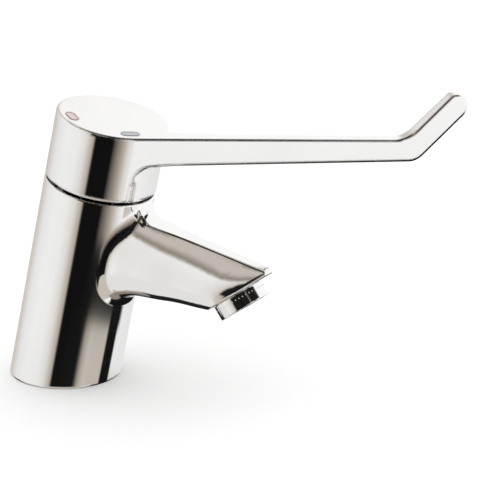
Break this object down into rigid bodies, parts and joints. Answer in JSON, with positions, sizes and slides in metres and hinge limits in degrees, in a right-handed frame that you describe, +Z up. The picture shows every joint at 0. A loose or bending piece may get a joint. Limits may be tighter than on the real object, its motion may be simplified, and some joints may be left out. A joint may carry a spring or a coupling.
{
  "type": "elbow lever tap",
  "caption": "Single-lever basin mixer with a leaning round body, tapering spout, flush round lever cap and a long blade lever worked by the elbow.",
  "frame": {"origin": "centre of the base face on the deck, at the mouth of the fixing stud hole", "axes": "+Z up from the deck, +X the way the spout points and the body leans, +Y to the right of a person facing the spout"},
  "size_m": [0.167, 0.1539, 0.1292],
  "materials": {
    "chrome_body": "polished chrome plate on cast brass",
    "chrome_lever": "polished chrome plate on cast brass",
    "chrome_ring": "polished chrome plate on turned brass",
    "bright_brass": "machined brass",
    "steel": "bright stainless steel",
    "black_plastic": "moulded, fine matt",
    "white_plastic": "moulded, natural white",
    "grey_plastic": "moulded, light grey",
    "ceramic": "lapped white alumina",
    "rubber": "black moulded rubber",
    "red_enamel": "pale red inlay",
    "blue_enamel": "pale blue inlay"
  },
  "bodies": {
    "tap": {"tap_body": "chrome_body", "base_seal": "rubber", "cartridge_housing": "white_plastic", "cartridge_base": "black_plastic", "fixed_ceramic_disc": "ceramic", "port_seals": "rubber", "cartridge_seal": "rubber", "cartridge_nut": "bright_brass", "temperature_stop_ring": "grey_plastic", "aerator_housing": "chrome_ring", "aerator_insert": "white_plastic", "aerator_screen": "grey_plastic", "aerator_seal": "rubber"},
    "rotor_group": {"rotor": "black_plastic", "rotor_seal": "rubber", "spindle_pin": "steel"},
    "lever_group": {"lever": "chrome_lever", "spindle": "steel", "lever_bush": "grey_plastic", "grub_screw": "steel", "screw_plug": "grey_plastic", "hot_mark": "red_enamel", "cold_mark": "blue_enamel"},
    "carrier_group": {"disc_carrier": "white_plastic", "moving_ceramic_disc": "ceramic"}
  },
  "joints": [
    {"name": "temperature_turn", "type": "hinge", "parent": "tap", "child": "rotor_group", "pos_m": [0.02483, 0, 0.10757], "axis": [0.225, 0, 0.9744], "range_deg": [-100, 0]},
    {"name": "lever_tilt", "type": "hinge", "parent": "rotor_group", "child": "lever_group", "pos_m": [0.02483, 0, 0.10757], "axis": [0.8172, -0.5446, -0.1887], "range_deg": [0, 20]},
    {"name": "carrier_slide", "type": "slide", "parent": "rotor_group", "child": "carrier_group", "axis": [0.5307, 0.8387, -0.1225], "range_m": [0, 0.00553]}
  ],
  "couplings": [
    {"joint": "carrier_slide", "follows": "lever_tilt", "m_per_rad": 0.01584}
  ]
}
